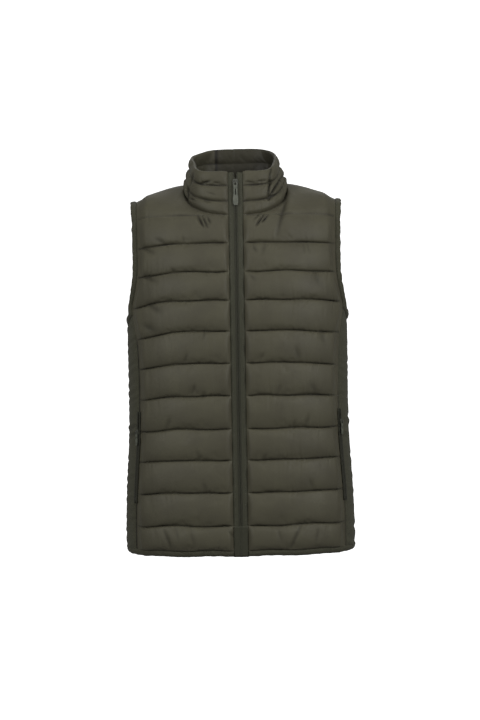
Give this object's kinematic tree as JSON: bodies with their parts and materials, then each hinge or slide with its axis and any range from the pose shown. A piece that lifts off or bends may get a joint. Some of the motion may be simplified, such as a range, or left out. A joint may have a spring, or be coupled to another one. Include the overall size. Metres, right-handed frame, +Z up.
{
  "type": "puffer vest",
  "caption": "Sleeveless quilted vest with a stand collar, plain stretch sides, bound armholes and hem, zipped up the front.",
  "frame": {"origin": "8 mm below the line between the two points where the collar meets the shoulder seams, midway between them, where the wearer's neck and shoulders carry the garment", "axes": "+Z up the garment to the collar, -Y out of the zipped front, +X to the wearer's left"},
  "size_m": [0.4234, 0.2818, 0.7532],
  "materials": {
    "shell": "fine nylon taffeta, olive grey, soft low sheen",
    "stretch": "matte brushed stretch knit, dark olive grey",
    "binding": "matte elastic binding, dark olive",
    "zip_tape": "woven zip tape, dark olive",
    "zip_teeth": "dark nylon coil",
    "slider": "satin painted die-cast",
    "pull": "moulded rubbery plastic, grey green"
  },
  "bodies": {
    "garment": {"front_left": "shell", "front_right": "shell", "back": "shell", "side_left": "stretch", "side_right": "stretch", "collar": "shell", "armhole_binding_left": "binding", "armhole_binding_right": "binding", "hem_binding": "binding", "zip_tape_left": "zip_tape", "zip_tape_right": "zip_tape", "zip_chain": "zip_teeth", "zip_chain_end_left": "zip_teeth", "zip_chain_end_right": "zip_teeth", "zip_end_left": "zip_tape", "zip_end_right": "zip_tape", "zip_box": "zip_teeth", "front_slider": "slider", "pocket_tape_left": "zip_tape", "pocket_tape_right": "zip_tape", "pocket_chain_left": "zip_teeth", "pocket_chain_right": "zip_teeth", "pocket_left_slider": "slider", "pocket_right_slider": "slider"},
    "front_pull": {"front_pull": "pull"},
    "pocket_left_pull": {"pocket_left_pull": "pull"},
    "pocket_right_pull": {"pocket_right_pull": "pull"}
  },
  "joints": [
    {"name": "front_pull_swing", "type": "hinge", "parent": "garment", "child": "front_pull", "pos_m": [0, -0.08456, 0.00516], "axis": [-1, 0, 0], "range_deg": [0, 165]},
    {"name": "pocket_left_pull_swing", "type": "hinge", "parent": "garment", "child": "pocket_left_pull", "pos_m": [0.18659, -0.08092, -0.431], "axis": [-0.5938, -0.8046, 0], "range_deg": [0, 160]},
    {"name": "pocket_right_pull_swing", "type": "hinge", "parent": "garment", "child": "pocket_right_pull", "pos_m": [-0.18704, -0.08041, -0.44492], "axis": [-0.5934, 0.8049, 0], "range_deg": [0, 160]}
  ]
}
